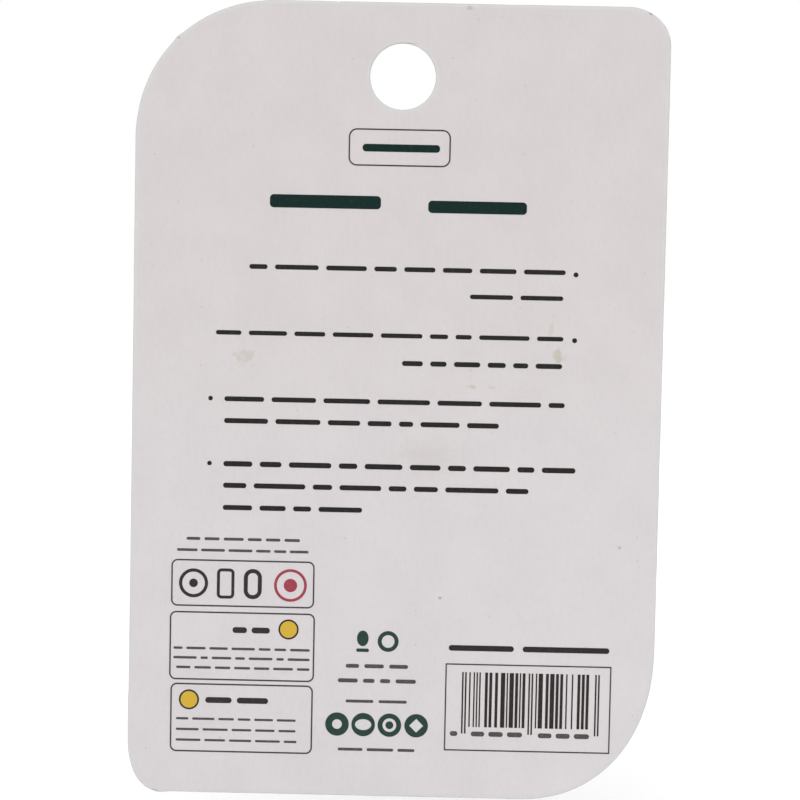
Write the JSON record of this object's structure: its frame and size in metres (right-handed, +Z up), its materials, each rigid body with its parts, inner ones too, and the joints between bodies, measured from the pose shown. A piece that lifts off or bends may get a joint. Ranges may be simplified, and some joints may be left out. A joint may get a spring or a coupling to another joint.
{
  "type": "carded eraser pack",
  "caption": "Die-cut hang card with a round hang hole, carrying a sleeved block eraser in a clear bubble sealed to its front.",
  "frame": {"origin": "centre of the hang hole, on the card's back face", "axes": "+Z up as the pack hangs, +X across the card, +Y out of the card's front, through the bubble"},
  "size_m": [0.09, 0.0137, 0.1354],
  "materials": {
    "board": "uncoated pale board, printed on the back",
    "film": "clear thermoformed film",
    "vinyl": "matte white vinyl",
    "sleeve_paper": "smooth dark green paper"
  },
  "bodies": {
    "root": {"backing_card": "board", "blister": "film", "eraser": "vinyl", "sleeve": "sleeve_paper"}
  },
  "joints": []
}
